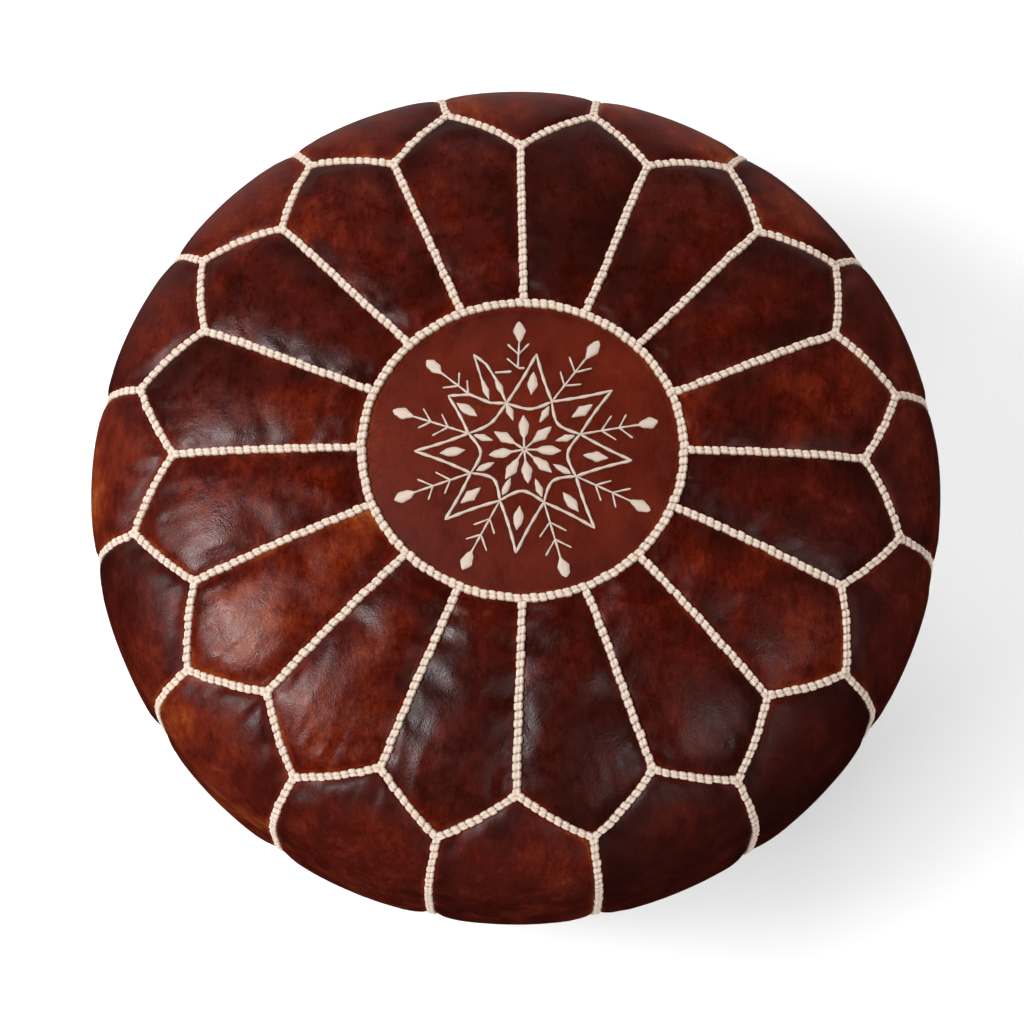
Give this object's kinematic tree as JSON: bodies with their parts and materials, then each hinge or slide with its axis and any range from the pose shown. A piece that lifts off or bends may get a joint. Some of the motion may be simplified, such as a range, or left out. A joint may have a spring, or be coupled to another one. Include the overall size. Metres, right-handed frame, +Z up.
{
  "type": "moroccan leather pouf",
  "caption": "Round stuffed floor pouf: a sewn leather panel cover with laced cord seams, an embroidered crown medallion and a zipped base.",
  "frame": {"origin": "middle of the underside, on the floor plane", "axes": "+Z up through the crown, +X along the zip towards its closed end, +Y towards the back half of the base"},
  "size_m": [0.5198, 0.5198, 0.2963],
  "materials": {
    "petal_leather": "antiqued glossy mahogany",
    "side_leather": "antiqued glossy red-brown",
    "medallion_leather": "smooth semi-gloss russet",
    "base_leather": "semi-matte dark brown",
    "braid_cord": "matte ivory cotton cord",
    "embroidery_thread": "soft silky ivory thread",
    "zip_fabric": "dark brown woven tape and nylon coil",
    "zip_brass": "aged brass",
    "cotton": "plain unbleached cotton"
  },
  "bodies": {
    "cover": {"petal_panel_01": "petal_leather", "petal_panel_02": "petal_leather", "petal_panel_03": "petal_leather", "petal_panel_04": "petal_leather", "petal_panel_05": "petal_leather", "petal_panel_06": "petal_leather", "petal_panel_07": "petal_leather", "petal_panel_08": "petal_leather", "petal_panel_09": "petal_leather", "petal_panel_10": "petal_leather", "petal_panel_11": "petal_leather", "petal_panel_12": "petal_leather", "petal_panel_13": "petal_leather", "petal_panel_14": "petal_leather", "petal_panel_15": "petal_leather", "petal_panel_16": "petal_leather", "side_panel_01": "side_leather", "side_panel_02": "side_leather", "side_panel_03": "side_leather", "side_panel_04": "side_leather", "side_panel_05": "side_leather", "side_panel_06": "side_leather", "side_panel_07": "side_leather", "side_panel_08": "side_leather", "side_panel_09": "side_leather", "side_panel_10": "side_leather", "side_panel_11": "side_leather", "side_panel_12": "side_leather", "side_panel_13": "side_leather", "side_panel_14": "side_leather", "side_panel_15": "side_leather", "side_panel_16": "side_leather", "medallion": "medallion_leather", "base_panel_back": "base_leather", "base_panel_front": "base_leather", "base_piping": "base_leather", "top_braid": "braid_cord", "side_braid": "braid_cord", "embroidery_star": "embroidery_thread", "embroidery_rosette": "embroidery_thread", "zip_tape_back": "zip_fabric", "zip_tape_front": "zip_fabric", "zip_coil_back": "zip_fabric", "zip_coil_front": "zip_fabric", "zip_bottom_stop": "zip_brass", "zip_top_stop_back": "zip_brass", "zip_top_stop_front": "zip_brass", "cotton_liner": "cotton", "filling": "cotton"},
    "slider": {"zip_slider": "zip_brass"},
    "pull": {"zip_pull": "zip_brass"}
  },
  "joints": [
    {"name": "zip_slide", "type": "slide", "parent": "cover", "child": "slider", "axis": [-1, 0, 0], "range_m": [0, 0.195], "deforming": ["zip_coil_back", "zip_coil_front", "zip_tape_back", "zip_tape_front"]},
    {"name": "pull_hinge", "type": "hinge", "parent": "slider", "child": "pull", "pos_m": [0.098, 0, 0.00535], "axis": [0, -1, 0], "range_deg": [0, 150]}
  ]
}
